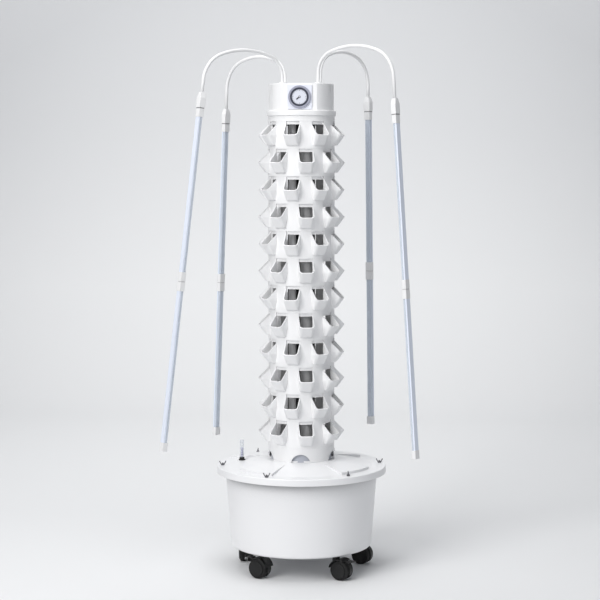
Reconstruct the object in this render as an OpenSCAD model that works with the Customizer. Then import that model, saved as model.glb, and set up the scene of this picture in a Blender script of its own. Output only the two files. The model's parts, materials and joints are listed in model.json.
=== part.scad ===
// Hydroponic tower: stacked planting tiers on a wheeled water tank, with four grow lights on bent arms.
// Millimetres, +Z up. The origin is on the floor under the tower's axis, and the timer faces -Y.
// An azimuth is counted from -Y towards +X.

/* [Tiers] */
// Outer radius of the tower wall
tower_r = 109; // [104:0.5:116]
// Thickness of the tower wall
tower_wall = 4; // [3:0.5:5]
// Height of one tier from seam to seam
tier_h = 88.3; // [86:0.1:96]
// Azimuth of the first pocket of the top tier
tier_turn = -11.25; // [-45:0.25:45]
// Length of the spigot that pushes into the tier below
spigot_h = 10; // [6:0.5:11]
// Thickness of the spigot
spigot_wall = 3; // [2:0.5:4]
// Height of the shoulder that joins the spigot to the wall
shoulder_h = 4; // [3:0.5:6]
// Clearance round a spigot
spigot_gap = 0.3; // [0.2:0.1:0.5]

/* [Pockets] */
// Pockets round one tier
pocket_count = 8; // [6:1:8]
// Outer width of a pocket at its lip
pocket_w = 50; // [44:1:54]
// Outer width of a pocket at its foot
pocket_foot_w = 39; // [34:1:42]
// Thickness of a pocket's walls
pocket_wall = 3; // [2:0.5:4]
// Radius of a pocket's rounded front corners
pocket_corner_r = 12; // [8:1:14]
// How far the lip's tip stands out from the tower wall
pocket_reach = 32.5; // [26:0.5:38]
// Height of the lip's tip above the tier's seam
pocket_tip_z = 43.5; // [38:0.5:50]
// How far the pocket's foot stands out from the tower wall
pocket_foot_reach = 9; // [6:0.5:14]
// Height of the pocket's underside above the tier's seam
pocket_floor_z = 12; // [9:0.5:16]
// Height where the mouth's slope meets the tower wall
mouth_top_z = 76; // [70:0.5:77]

/* [Tower foot and collar] */
// Height of the ring under the lowest tier
base_h = 46.3; // [42:0.1:60]
// Height of the sleeve behind the arches
base_sleeve_h = 32; // [30:0.5:34]
// Arches round the ring
arch_count = 5; // [3:1:5]
// Radius of an arch
arch_r = 31.4; // [24:0.2:34]
// Azimuth of the front arch
arch_turn = 2.5; // [-36:0.5:36]
// How far an arch's centre lies below the ring's foot
arch_drop = 4.9; // [0:0.1:8]
// Height of the plain collar over the top tier
collar_h = 19; // [14:0.5:30]

/* [Tank] */
// How much narrower the tank's radius is at its floor than under its flange
tank_taper = 19; // [10:0.5:28]
// Height from the tank's underside to the top of its flange
tank_h = 263.5; // [220:0.5:300]
// Thickness of the tank's wall and floor
tank_wall = 5; // [4:0.5:7]
// Width of the tank's flange
flange_w = 20.2; // [19:0.2:24]
// Thickness of the tank's flange
flange_t = 5; // [4:0.5:7]
// Radius of the tank's rounded lower edge
tank_edge_r = 9; // [6:0.5:14]

/* [Lid] */
// Outer radius of the lid
lid_r = 280; // [260:0.5:300]
// Thickness of the lid
lid_t = 4; // [3:0.5:6]
// Height of the lid's skirt
skirt_h = 22; // [16:0.5:30]
// Thickness of the skirt
skirt_t = 4; // [3:0.5:5]
// Clearance between the skirt and the tank's flange
skirt_gap = 4; // [2:0.5:6]
// Radius of the lid's rounded edge
lid_edge_r = 3.5; // [1:0.5:3.5]
// How far the cone's foot lies inside the tank's upper edge
cone_inset = 15.8; // [13:0.2:19]
// Height that the cone rises to the tower's seat
cone_rise = 22.7; // [14:0.1:30]
// Width of the flat seat round the tower's foot
seat_margin = 9; // [5:0.5:14]
// Width of the ledge that carries the tower's foot
seat_ledge = 9; // [7:0.5:12]
// Turn of the lid's fastenings and pads about the tower's axis
lid_turn = 8.75; // [-30:0.25:30]
// Raised pads on the lid
pad_count = 4; // [3:1:4]
// How far a pad reaches past the foot of the cone
pad_margin = 2; // [1:0.5:4]
// Height of a pad's outer edge above the lid's rim
pad_h = 8; // [6:0.5:10]
// Half the angle that a pad covers
pad_half_angle = 17; // [12:1:20]
// Distance from the tower's seat to a pad
pad_start = 4; // [2:0.5:8]
// Studs that hold the lid
stud_count = 6; // [3:1:6]
// Distance of the studs from the flange's edge
stud_inset = 11; // [10:0.5:12]
// Radius of a stud
stud_r = 3; // [2.5:0.25:4]
// Clearance round a stud in its holes
stud_gap = 0.3; // [0.2:0.1:0.6]
// Height of a stud's head
stud_head_h = 4; // [3:0.5:5]
// Length of stud above the lid
stud_rise = 8; // [6:0.5:12]
// Radius of a wing nut's hub
nut_hub_r = 5.5; // [5:0.25:6.5]
// Height of a wing nut's hub
nut_hub_h = 5; // [4:0.5:5.5]
// Reach of a wing from the nut's axis
wing_reach = 12; // [10:0.5:14]
// Height of a wing's tip above the lid
wing_h = 14.5; // [12:0.5:18]
// Thickness of a wing
wing_t = 2.6; // [2:0.2:4]
// Width of a wing
wing_bar = 3; // [2:0.25:4]
// Turn of each wing nut from the radius
nut_turn = [-32, 0, 40, -38, 0, -70]; // [-90:1:90]

/* [Water level gauge] */
// How far the gauge stands inside the cone's foot
gauge_inset = 35; // [33:0.5:37]
// Azimuth of the gauge
gauge_az = -95.6; // [-102:0.2:-60]
// Radius of the clear tube
gauge_tube_r = 6.5; // [6:0.25:7.5]
// Thickness of the clear tube
gauge_tube_wall = 1.5; // [1:0.25:2]
// Height of the clear tube above its boss
gauge_tube_rise = 68; // [56:1:80]
// Length of the clear tube below its boss
gauge_tube_drop = 28; // [20:1:40]
// Radius of the level boss that is sunk into the lid's cone
gauge_boss_r = 16; // [15:0.5:17]
// Height of the boss above the lid's rim
gauge_boss_h = 7; // [6.6:0.1:8]
// Radius of the grommet's flange
grommet_r = 11; // [10:0.5:14]
// Thickness of the grommet's sleeve
grommet_wall = 1.6; // [1.2:0.1:2.4]
// Height of the grommet above its boss
grommet_h = 10; // [7:0.5:12]
// Thickness of the grommet's flange
grommet_flange_t = 3.5; // [2:0.5:5]
// Clearance between the grommet and its neighbours
grommet_gap = 0.15; // [0.1:0.05:0.3]
// Radius of the float's rod
float_rod_r = 2; // [1.5:0.25:2.5]
// Clearance round the rod
float_rod_gap = 0.3; // [0.2:0.05:0.5]
// Height of the rod's top above the gauge's boss
float_rod_rise = 42; // [30:1:46]
// Radius of the float
float_r = 10; // [8:0.5:11]
// Height of the float
float_h = 30; // [20:1:40]
// Distance from the clear tube's lower end to the float
float_drop = 65; // [45:1:80]

/* [Pump and inner pipes] */
// Radius of the column on the tower's axis
column_r = 45; // [40:0.5:47]
// Thickness of the column
column_wall = 3; // [2:0.5:4]
// Clearance between the column and the pipes and pump beside it
pipe_gap = 1.5; // [1:0.25:3]
// Width of the pump
pump_w = 120; // [110:1:140]
// Distance of the pump's front from the axis
pump_front = 140; // [120:1:160]
// Height of the pump
pump_h = 70; // [56:1:90]
// Length of the pump's nozzle
nozzle_l = 20; // [14:1:30]
// Radius of the riser pipe
riser_r = 12.5; // [11:0.5:13.5]
// Thickness of the riser pipe
riser_wall = 2.5; // [1.5:0.5:3]
// Distance of the riser pipe from the axis, along X
riser_x = -25.5; // [-32:0.5:-22]
// Radius of the cable duct
duct_r = 20; // [16:0.5:21]
// Thickness of the cable duct
duct_wall = 2; // [1.5:0.5:3]
// Distance of the cable duct from the axis, along X
duct_x = 20.5; // [18:0.5:26]
// Clearance round the pipes where they are held
hold_gap = 0.15; // [0.1:0.05:0.3]
// Thickness of the drip plate
drip_t = 3; // [2:0.5:5]
// Height of the sleeves on the drip plate
drip_sleeve_h = 12; // [8:1:16]
// Thickness of the sleeves on the drip plate
drip_sleeve_wall = 2.5; // [1.5:0.5:3]
// Holes round the drip plate
drip_holes = 24; // [12:1:32]
// Radius of a drip hole
drip_hole_r = 3; // [2:0.25:3]

/* [Head cap] */
// Height of the head cap above the collar
cap_h = 103.4; // [96:0.2:120]
// How far the cap's wall lies inside the tower's wall
cap_inset = 3.3; // [1:0.1:5]
// Thickness of the head cap
cap_wall = 3; // [2:0.5:3.5]
// How far the cap's rim stands proud of the tower's wall
rim_proud = 3.7; // [2:0.1:7]
// Height of the cap's rim
cap_rim_h = 16.5; // [12:0.5:20]
// Radius of the cap's rounded top edge
cap_edge_r = 2.5; // [1:0.5:3]
// Length of the cap's ring inside the collar
cap_ring_h = 8; // [6:0.5:10]
// How far the cap's flat front lies inside the cap's wall
flat_depth = 15.7; // [11.7:0.5:17.7]
// Azimuth of the slots in the cap, to each side of the front
slot_az = 65; // [55:1:75]
// Width of a slot
slot_w = 3; // [2:0.5:5]
// Height of a slot
slot_h = 30; // [20:1:40]
// Distance of a slot from the cap's top
slot_top = 5; // [4:0.5:10]

/* [Timer] */
// Width of the timer's plate
timer_w = 79; // [76:0.5:84]
// Height of the timer's plate
timer_h = 77; // [72:0.5:78]
// Thickness of the timer's plate
timer_t = 5; // [4:0.5:8]
// Height of the dial's centre above the cap's rim
timer_z = 42.4; // [40:0.2:44]
// Radius of the timer's body behind the plate
timer_body_r = 29.7; // [26:0.1:32]
// Clearance round the body in the cap
timer_body_gap = 0.3; // [0.2:0.1:0.5]
// Depth of the body behind the plate
timer_body_d = 30; // [20:1:40]
// Outer radius of the bezel
bezel_r = 36; // [34.5:0.25:36]
// Thickness of the bezel's wall
bezel_wall = 6; // [5:0.25:7]
// Height of the bezel in front of the plate
bezel_h = 5; // [4.5:0.5:8]
// Radius of the fixed clock face
face_r = 23.5; // [21:0.5:24.5]
// Thickness of the fixed clock face
face_t = 3; // [2:0.5:4]
// Thickness of the pin ring
ring_t = 4; // [3:0.5:5]
// Clearance between the face and the pin ring
ring_gap = 0.08; // [0.04:0.01:0.1]
// Clearance between the pin ring and the bezel
ring_rim_gap = 0.6; // [0.4:0.1:1]
// Switching pins round the ring
pin_count = 48; // [24:4:48]
// Length of a gap between pins
pin_l = 3.5; // [2.5:0.5:4]
// Width of a gap between pins
pin_gap_w = 1; // [0.6:0.1:1.4]
// Radius of the hand's spindle
spindle_r = 2; // [1.5:0.1:2.5]
// Clearance round the spindle
spindle_gap = 0.05; // [0.03:0.01:0.1]
// Length of the hand
hand_l = 14; // [10:0.5:17]
// Width of the hand
hand_w = 3.4; // [2.4:0.2:4.4]
// Thickness of the hand
hand_t = 1; // [0.8:0.1:1.4]
// Angle of the hand from straight up
hand_turn = -128; // [-180:1:180]

/* [Light arms] */
// Distance of an arm's bushing from the axis, along X and along Y
bush_xy = 58; // [52:0.5:60]
// Radius of a gooseneck
neck_r = 5.5; // [5:0.25:6.5]
// Clearance between a gooseneck and its bushing
neck_gap = 0.08; // [0.04:0.01:0.1]
// Thickness of a bushing's sleeve
bush_wall = 3; // [2:0.5:4]
// Clearance between a bushing and the cap
bush_gap = 0.15; // [0.1:0.05:0.3]
// Depth of a bushing below the cap's top
bush_depth = 28; // [20:1:36]
// Radius of a bushing's flange
bush_flange_r = 11; // [10:0.5:13]
// Height of a bushing's flange
bush_flange_h = 3; // [2:0.5:5]
// Azimuth of each arm
arm_az = [-52.4, 56.9, 144.4, -128.8]; // [-180:0.1:180]
// Distance from each arm's bushing to its socket
arm_reach = [300, 296, 262, 275]; // [255:1:310]
// Height of each arm's bow above the cap
arm_apex = [101, 114, 114, 98]; // [95:1:120]
// How far each socket hangs below the cap's top
arm_drop = [36, 56, 31, 72]; // [25:1:80]
// Outward lean of each light
arm_lean = [7.5, 4.3, 1.1, 2.8]; // [0:0.1:9]
// Radius of an arm's first bend
first_bend_r = 70; // [55:1:75]
// Turn of an arm's first bend
first_bend = 70; // [64:1:74]
// Turn of an arm's long bow
bow_bend = 40; // [34:1:46]
// Radius of an arm's last bend
last_bend_r = 100; // [80:1:110]

/* [Lights] */
// Width of a light tube
tube_w = 20; // [18:0.5:24]
// Depth of a light tube
tube_d = 14; // [12:0.5:18]
// Length of a light's upper tube
tube_l = 488; // [420:1:520]
// Length of a light's lower tube
low_tube_l = 477; // [420:1:520]
// Depth of the metal back of a tube
back_d = 5; // [4:0.5:6]
// Thickness of a tube's clear cover
cover_wall = 1.2; // [1:0.1:2]
// Radius of the cover's rounded corners
cover_corner_r = 4; // [2:0.5:5]
// Width of the light board
board_w = 12; // [8:0.5:14]
// Thickness of the light board
board_t = 1.5; // [1:0.25:2]
// How far a collar, link or end cap stands proud of its tube, on each side
fitting_proud = 0.8; // [0.6:0.1:1.5]
// How far a socket stands proud of its tube, on each side
socket_proud = 2; // [1.5:0.25:3]
// Length of a socket from its top to its collar
socket_l = 48; // [42:1:58]
// Length of a socket's tapered top
socket_taper = 17; // [12:1:22]
// Depth of a gooseneck in its socket
socket_bore_l = 18; // [14:1:24]
// Clearance between a gooseneck and its socket
socket_gap = 0.3; // [0.2:0.05:0.4]
// Wall round the gooseneck at the socket's top
socket_lip = 1.4; // [1:0.1:2]
// Length of the collar below a socket
ring_l = 29; // [22:1:36]
// Length of the link between two tubes
link_l = 60; // [50:1:70]
// Length of the cap on a light's lower end
end_l = 27; // [20:1:34]
// Width of a seam
seam_w = 1.8; // [1:0.1:2.4]
// Depth of a seam
seam_d = 1.2; // [0.8:0.1:1.6]

/* [Casters] */
// Casters under the tank
caster_count = 5; // [5:1:5]
// Distance of a caster's stem from the tank's lower edge
caster_inset = 37.8; // [32:0.2:46]
// Azimuth of the front of the circle of casters
caster_turn = 3; // [-36:0.5:36]
// Height of a caster from the floor to the tank
caster_h = 79.5; // [76:0.5:90]
// Way that each caster trails, as an azimuth
caster_az = [61, 65, 61, -170, -119]; // [-180:1:180]
// Distance from a stem to its axle
trail = 21; // [18:0.5:24]
// Radius of a wheel
wheel_r = 32; // [28:0.5:32]
// Thickness of a wheel
wheel_t = 17; // [14:0.5:20]
// Radius of a tread's rounded shoulder
wheel_edge_r = 4; // [2:0.5:5]
// Thickness of the web between the wheels
web_t = 12; // [10:0.5:14]
// Clearance between the web and a wheel
web_gap = 0.6; // [0.4:0.1:1]
// Radius of an axle
axle_r = 4; // [3:0.25:5]
// Clearance round an axle
axle_gap = 0.08; // [0.04:0.01:0.1]
// Clearance between the hood and the treads
hood_gap = 1.6; // [1:0.2:2.4]
// Thickness of the hood
hood_t = 3; // [2:0.5:4]
// Angle where the hood starts in front of the axle
hood_front = 12; // [0:1:25]
// Angle where the hood ends behind the axle
hood_rear = 118; // [105:1:120]
// Radius of a stem
stem_r = 6; // [5:0.25:7]
// Length of stem in the tank
stem_l = 18; // [14:1:22]
// Clearance round a stem
stem_gap = 0.08; // [0.04:0.01:0.1]
// Clearance between a caster's neck and the tank
neck_top_gap = 0.4; // [0.3:0.1:0.8]
// Radius of a caster's neck
caster_neck_r = 12; // [10:0.5:13]
// Thickness of the tank's wall round a stem
stem_wall = 6; // [4:0.5:8]
// Distance of a brake pedal's pivot from the axle
pedal_pivot_r = 40.5; // [39.5:0.5:42]
// Angle of a brake pedal's pivot behind the axle
pedal_pivot_az = 133; // [130:1:138]
// Radius of a brake pedal's pin
pedal_pin_r = 2; // [1.5:0.25:2.5]
// Clearance round a brake pedal's pin
pedal_gap = 0.06; // [0.03:0.01:0.1]
// Thickness of a brake pedal
pedal_t = 3.6; // [3:0.2:5]
// Length of a brake pedal behind its pivot
pedal_l = 20; // [16:1:26]
// Thickness of a brake pedal's cheeks
pedal_cheek_t = 3; // [2:0.5:4]

/* [Hidden] */
$fn = 64;
// Extra length of a cut past a face
cut = 1;
// Extra length of a shape that another trims
spare = 10;
white = "#f5f5f7";
clear_blue = "#dfe8f4";
black = "#1c1c1e";
steel = "#9a9a9e";
grey = "#a9abb0";

// Derived heights
tank_z = caster_h;
flange_top_z = tank_z + tank_h;
lid_z = flange_top_z + lid_t;
seat_z = lid_z + cone_rise;
tiers_z = seat_z + base_h;
tier_total = 12;
collar_z = tiers_z + tier_total * tier_h;
cap_z = collar_z + collar_h;
cap_top_z = cap_z + cap_h;

// Derived radii of the tower
tower_in_r = tower_r - tower_wall;
spigot_r = tower_in_r - spigot_gap;
spigot_in_r = spigot_r - spigot_wall;
lid_hole_r = tower_r - seat_ledge;
base_spigot_r = lid_hole_r - spigot_gap;
base_spigot_in_r = base_spigot_r - spigot_wall;

// Derived sizes of a pocket
pocket_tip_r = tower_r + pocket_reach;
pocket_foot_r = tower_r + pocket_foot_reach;
pocket_axis = atan2(pocket_tip_z - pocket_floor_z, pocket_tip_r - pocket_foot_r);
mouth_slope = (mouth_top_z - pocket_tip_z) / pocket_reach;
pocket_far_r = pocket_tip_r + spare;
pocket_back = tier_h;
function mouth_z(r) = pocket_tip_z + (pocket_tip_r - r) * mouth_slope;

// Derived sizes of the tank and the lid
tank_floor_z = tank_z + tank_wall;
tank_lean_z = tank_z + tank_edge_r;
flange_z = flange_top_z - flange_t;
flange_r = lid_r - skirt_t - skirt_gap;
tank_top_r = flange_r - flange_w;
tank_foot_r = tank_top_r - tank_taper;
tank_slope = (tank_top_r - tank_foot_r) / (flange_z - tank_lean_z);
function tank_r(z) = tank_foot_r + (z - tank_lean_z) * tank_slope;
seat_r = tower_r + seat_margin;
cone_r = tank_top_r - cone_inset;
function cone_z(r) = lid_z + (cone_r - r) * cone_rise / (cone_r - seat_r);
pad_r = cone_r + pad_margin;
pad_in_r = seat_r + pad_start;
pad_sink = lid_t / 8;
pad_step = 360 / pad_count;
stud_step = 360 / stud_count;
stud_head_r = 2 * stud_r;
stud_circle_r = flange_r - stud_inset;
wing_root = (stud_r + nut_hub_r) / 2;

// Derived places of the gauge
gauge_r = cone_r - gauge_inset;
gauge_boss_z = lid_z + gauge_boss_h;
gauge_hole_r = gauge_tube_r + grommet_wall + 2 * grommet_gap;
gauge_low_z = gauge_boss_z - gauge_tube_drop;
float_top_z = gauge_low_z - float_drop;

// Derived places of the pump and the inner pipes, which stand beside the column
pump_top_z = tank_floor_z + pump_h;
drip_z = collar_z + shoulder_h;
pipe_top_z = drip_z + drip_sleeve_h;
function beside_column(x, r) = [x, -sqrt(pow(column_r + pipe_gap + r, 2) - x * x), 0];
riser_at = beside_column(riser_x, riser_r);
duct_at = beside_column(duct_x, duct_r);

// Derived places of the cap and the timer
cap_r = tower_r - cap_inset;
cap_rim_r = tower_r + rim_proud;
cap_flat = cap_r - flat_depth;
dial_z = cap_z + cap_rim_h + timer_z;
plate_y = -cap_flat - timer_t;
face_y = plate_y - face_t;
ring_in_r = face_r + ring_gap;
ring_r = bezel_r - bezel_wall - ring_rim_gap;
ring_lift = 0.3;

// Derived places of the arms
bush_r = neck_r + neck_gap + bush_wall;
bush_floor_t = 3;
neck_low_z = -bush_depth + bush_floor_t + ring_lift;
bush_az = [-45, 45, 135, -135];
bend_sum = first_bend + bow_bend;
neck_step = 0.1;
neck_lap = 2;

// Each arm's long bow and straight end follow from its reach, height and drop
function across(i) = arm_reach[i] - first_bend_r * (1 - cos(first_bend))
    - last_bend_r * (cos(bend_sum) + cos(arm_lean[i]));
function down(i) = -arm_drop[i] - arm_apex[i] - last_bend_r * (sin(arm_lean[i]) - sin(bend_sum));
bow_x = cos(first_bend) - cos(bend_sum);
bow_z = sin(bend_sum) - 1;
function bow_det(i) = -bow_x * cos(arm_lean[i]) - sin(arm_lean[i]) * bow_z;
function bow_r(i) = (-across(i) * cos(arm_lean[i]) - sin(arm_lean[i]) * down(i)) / bow_det(i);
function tail_l(i) = (bow_x * down(i) - bow_z * across(i)) / bow_det(i);
function rise(i) = arm_apex[i] - first_bend_r * sin(first_bend) - bow_r(i) * (1 - sin(first_bend));

// Derived lengths of a light, down from its socket's top
fitting_w = tube_w + 2 * fitting_proud;
fitting_d = tube_d + 2 * fitting_proud;
socket_w = tube_w + 2 * socket_proud;
socket_d = tube_d + 2 * socket_proud;
upper_tube_z = -socket_l - ring_l;
link_z = upper_tube_z - tube_l;
lower_tube_z = link_z - link_l;
end_z = lower_tube_z - low_tube_l;
back_x = tube_d / 2 - back_d;

// Derived sizes of a caster
caster_step = 360 / caster_count;
caster_circle_r = tank_foot_r - caster_inset;
function stem_az(i) = caster_turn + caster_step * (i - 0.5);
hood_in_r = wheel_r + hood_gap;
hood_r = hood_in_r + hood_t;
wheel_y = web_t / 2 + web_gap;
hood_half_w = wheel_y + wheel_t;
stem_boss_r = stem_r + stem_gap + stem_wall;
pedal_x = -trail + pedal_pivot_r * cos(pedal_pivot_az);
pedal_z = wheel_r + pedal_pivot_r * sin(pedal_pivot_az);
pedal_eye_r = pedal_pin_r + pedal_gap + 2.4;
pedal_cheek_y = web_t / 2 + 0.4;
caster_hub_r = 13;
caster_cap_t = 3;

// Turns +X to an azimuth
module at_azimuth(az) {
    rotate([0, 0, az - 90]) children();
}

// Draws children as an outline in the plane of the radius and Z, spread across the width
module across_width(w) {
    rotate([90, 0, 0]) linear_extrude(w, center = true) children();
}

// Draws children as an outline in the plane of Y and Z, spread along X from x0
module along_radius(x0, l) {
    translate([x0, 0, 0]) rotate([90, 0, 90]) linear_extrude(l) children();
}

// What a rounded convex corner at the upper right leaves over
module corner_waste(x, y, r) {
    translate([x - r, y - r]) difference() {
        square(r + cut);
        circle(r);
    }
}

// Pockets

// Cross-section of the spout that a pocket is part of, with its front at x = 0
module spout_outline(inset) {
    w = pocket_w - 2 * inset;
    c = pocket_corner_r - inset;
    translate([-inset, 0]) {
        translate([-pocket_back, -w / 2]) square([pocket_back - c, w]);
        translate([-pocket_back, c - w / 2]) square([pocket_back, w - 2 * c]);
        for (side = [-1, 1]) translate([-c, side * (w / 2 - c)]) circle(c);
    }
}

module spout(inset) {
    translate([pocket_foot_r, 0, pocket_floor_z])
        rotate([0, 90 - pocket_axis, 0])
            translate([0, 0, -tier_h])
                linear_extrude(2 * tier_h) spout_outline(inset);
}

// Front view of a pocket, narrower at its foot
module pocket_front(inset, top) {
    foot = pocket_foot_w / 2 - inset;
    lip = pocket_w / 2 - inset;
    polygon([
        [-foot, pocket_floor_z + inset], [foot, pocket_floor_z + inset],
        [lip, pocket_tip_z], [lip, top], [-lip, top], [-lip, pocket_tip_z]
    ]);
}

// Side view of a pocket's outside, cut off at the slanted mouth
module pocket_side() {
    polygon([
        [tower_in_r, pocket_floor_z], [pocket_far_r, pocket_floor_z],
        [pocket_far_r, mouth_z(pocket_far_r)], [tower_in_r, mouth_z(tower_in_r)]
    ]);
}

module pocket_outside() {
    difference() {
        intersection() {
            spout(0);
            across_width(pocket_w + spare) pocket_side();
            along_radius(tower_in_r - tower_wall, pocket_far_r) pocket_front(0, tier_h + spare);
        }
        cylinder(r = tower_r - tower_wall / 2, h = tier_h);
    }
}

module pocket_inside() {
    window_x = tower_in_r - 2 * tower_wall;
    intersection() {
        spout(pocket_wall);
        along_radius(window_x, pocket_far_r) pocket_front(pocket_wall, tier_h + spare);
    }
    along_radius(window_x, tower_r - window_x) pocket_front(pocket_wall, tier_h + cut);
}

// Tower

module ring_outline(spigot, top) {
    polygon([
        [spigot_in_r, -spigot], [spigot_r, -spigot], [spigot_r, 0], [tower_r, 0],
        [tower_r, top], [tower_in_r, top], [tower_in_r, shoulder_h], [spigot_in_r, shoulder_h]
    ]);
}

// Tier 1 is the top one, and each tier is turned half a pocket from the next
module tier(i) {
    step = 360 / pocket_count;
    first_az = i % 2 == 1 ? tier_turn : tier_turn + step / 2;
    translate([0, 0, tiers_z + (tier_total - i) * tier_h]) color(white) difference() {
        union() {
            rotate_extrude() ring_outline(spigot_h, tier_h);
            for (k = [0:pocket_count - 1]) at_azimuth(first_az + k * step) pocket_outside();
        }
        for (k = [0:pocket_count - 1]) at_azimuth(first_az + k * step) pocket_inside();
    }
}

module tower_base_outline() {
    polygon([
        [base_spigot_in_r, -spigot_h], [base_spigot_r, -spigot_h], [base_spigot_r, 0], [tower_r, 0],
        [tower_r, base_h], [tower_in_r, base_h], [tower_in_r, shoulder_h], [base_spigot_r, shoulder_h],
        [base_spigot_r, base_sleeve_h], [base_spigot_in_r, base_sleeve_h]
    ]);
}

module tower_base() {
    translate([0, 0, seat_z]) color(white) difference() {
        rotate_extrude() tower_base_outline();
        for (k = [0:arch_count - 1]) at_azimuth(arch_turn + k * 360 / arch_count) arch();
    }
}

// An arch cuts the ring's wall and leaves the sleeve behind it whole
module arch() {
    intersection() {
        translate([lid_hole_r, 0, -arch_drop]) rotate([0, 90, 0])
            cylinder(r = arch_r, h = seat_ledge + spare);
        translate([0, -arch_r, 0]) cube([tower_r + spare, 2 * arch_r, base_h]);
    }
}

module top_collar() {
    translate([0, 0, collar_z]) color(white) rotate_extrude() ring_outline(spigot_h, collar_h);
}

module drip_plate() {
    hole_circle_r = spigot_in_r - 2 * drip_hole_r;
    translate([0, 0, drip_z]) color(white) difference() {
        union() {
            cylinder(r = spigot_r, h = drip_t);
            translate(riser_at) cylinder(r = riser_r + hold_gap + drip_sleeve_wall, h = drip_sleeve_h);
            translate(duct_at) cylinder(r = duct_r + hold_gap + drip_sleeve_wall, h = drip_sleeve_h);
        }
        translate([0, 0, -cut]) {
            translate(riser_at) cylinder(r = riser_r + hold_gap, h = drip_sleeve_h + 2 * cut);
            translate(duct_at) cylinder(r = duct_r + hold_gap, h = drip_sleeve_h + 2 * cut);
        }
        for (k = [0:drip_holes - 1]) at_azimuth(k * 360 / drip_holes)
            translate([hole_circle_r, 0, -cut]) cylinder(r = drip_hole_r, h = drip_t + 2 * cut);
    }
}

// An open pipe from z up to top
module pipe(r, wall, z, top) {
    translate([0, 0, z]) difference() {
        cylinder(r = r, h = top - z);
        translate([0, 0, -cut]) cylinder(r = r - wall, h = top - z + 2 * cut);
    }
}

module core_column() {
    color(grey) pipe(column_r, column_wall, tank_floor_z, drip_z);
}

module riser_pipe() {
    color(grey) translate(riser_at) pipe(riser_r, riser_wall, pump_top_z, pipe_top_z);
}

module cable_duct() {
    color(grey) translate(duct_at) pipe(duct_r, duct_wall, pump_top_z, pipe_top_z);
}

// Tank

// The wall stands upright over the rounded lower edge and leans out above it
module tank_outline() {
    difference() {
        polygon([
            [0, tank_z], [tank_foot_r, tank_z], [tank_foot_r, tank_lean_z], [tank_r(flange_z), flange_z],
            [flange_r, flange_z], [flange_r, flange_top_z], [tank_r(flange_top_z) - tank_wall, flange_top_z],
            [tank_foot_r - tank_wall, tank_lean_z], [tank_foot_r - tank_wall, tank_floor_z], [0, tank_floor_z]
        ]);
        mirror([0, 1]) corner_waste(tank_foot_r, -tank_z, tank_edge_r);
    }
}

module tank() {
    color(white) difference() {
        union() {
            rotate_extrude() tank_outline();
            at_casters() translate([0, 0, tank_floor_z - cut]) cylinder(r = stem_boss_r, h = stem_l + cut);
        }
        at_casters() translate([0, 0, tank_z - cut]) cylinder(r = stem_r + stem_gap, h = stem_l + 2 * cut);
        at_studs() translate([0, 0, flange_z - cut]) cylinder(r = stud_r + stud_gap, h = flange_t + 2 * cut);
    }
}

module at_stud(k) {
    at_azimuth(lid_turn + (k + 0.5) * stud_step) translate([stud_circle_r, 0, 0]) children();
}

module at_studs() {
    for (k = [0:stud_count - 1]) at_stud(k) children();
}

module lid_studs() {
    color(steel) at_studs() {
        translate([0, 0, flange_z - stud_head_h]) cylinder(r = stud_head_r, h = stud_head_h, $fn = 6);
        translate([0, 0, flange_z - cut]) cylinder(r = stud_r, h = lid_z + stud_rise - flange_z + cut);
    }
}

// One wing is an outline that leans out from the hub
module wing() {
    across_width(wing_t) polygon([
        [wing_root, cut], [nut_hub_r, cut], [wing_reach, wing_h - wing_bar / 2],
        [wing_reach - wing_bar, wing_h], [wing_root, nut_hub_h - cut]
    ]);
}

module wing_nuts() {
    color(steel) for (k = [0:stud_count - 1]) at_stud(k)
        translate([0, 0, lid_z]) rotate([0, 0, nut_turn[k]]) difference() {
            union() {
                cylinder(r = nut_hub_r, h = nut_hub_h);
                for (side = [0, 180]) rotate([0, 0, side]) wing();
            }
            translate([0, 0, -cut]) cylinder(r = stud_r + spindle_gap, h = wing_h + 2 * cut);
        }
}

module lid_outline() {
    difference() {
        polygon([
            [lid_hole_r, seat_z], [seat_r, seat_z], [cone_r, lid_z], [lid_r, lid_z], [lid_r, lid_z - skirt_h],
            [lid_r - skirt_t, lid_z - skirt_h], [lid_r - skirt_t, flange_top_z], [cone_r, flange_top_z],
            [seat_r, seat_z - lid_t], [lid_hole_r, seat_z - lid_t]
        ]);
        corner_waste(lid_r, lid_z, lid_edge_r);
    }
}

// A raised pad is a wedge that grows out of the cone towards the lid's rim
module lid_pad() {
    rotate([0, 0, -pad_half_angle]) rotate_extrude(angle = 2 * pad_half_angle) polygon([
        [pad_in_r, cone_z(pad_in_r) - pad_sink], [pad_r, lid_z - lid_t / 2], [pad_r, lid_z + pad_h]
    ]);
}

module tank_lid() {
    color(white) difference() {
        union() {
            rotate_extrude() lid_outline();
            for (k = [0:pad_count - 1]) at_azimuth(lid_turn + (k + 0.5) * pad_step) lid_pad();
            at_gauge() translate([0, 0, lid_z - lid_t / 2])
                cylinder(r = gauge_boss_r, h = gauge_boss_h + lid_t / 2);
        }
        at_studs() translate([0, 0, flange_top_z - cut]) cylinder(r = stud_r + stud_gap, h = lid_t + 2 * cut);
        at_gauge() translate([0, 0, flange_top_z - cut])
            cylinder(r = gauge_hole_r, h = lid_t + gauge_boss_h + 2 * cut);
        at_gauge() translate([0, 0, gauge_boss_z]) cylinder(r = gauge_boss_r + cut, h = cone_rise);
    }
}

// Water level gauge

module at_gauge() {
    at_azimuth(gauge_az) translate([gauge_r, 0, 0]) children();
}

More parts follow.
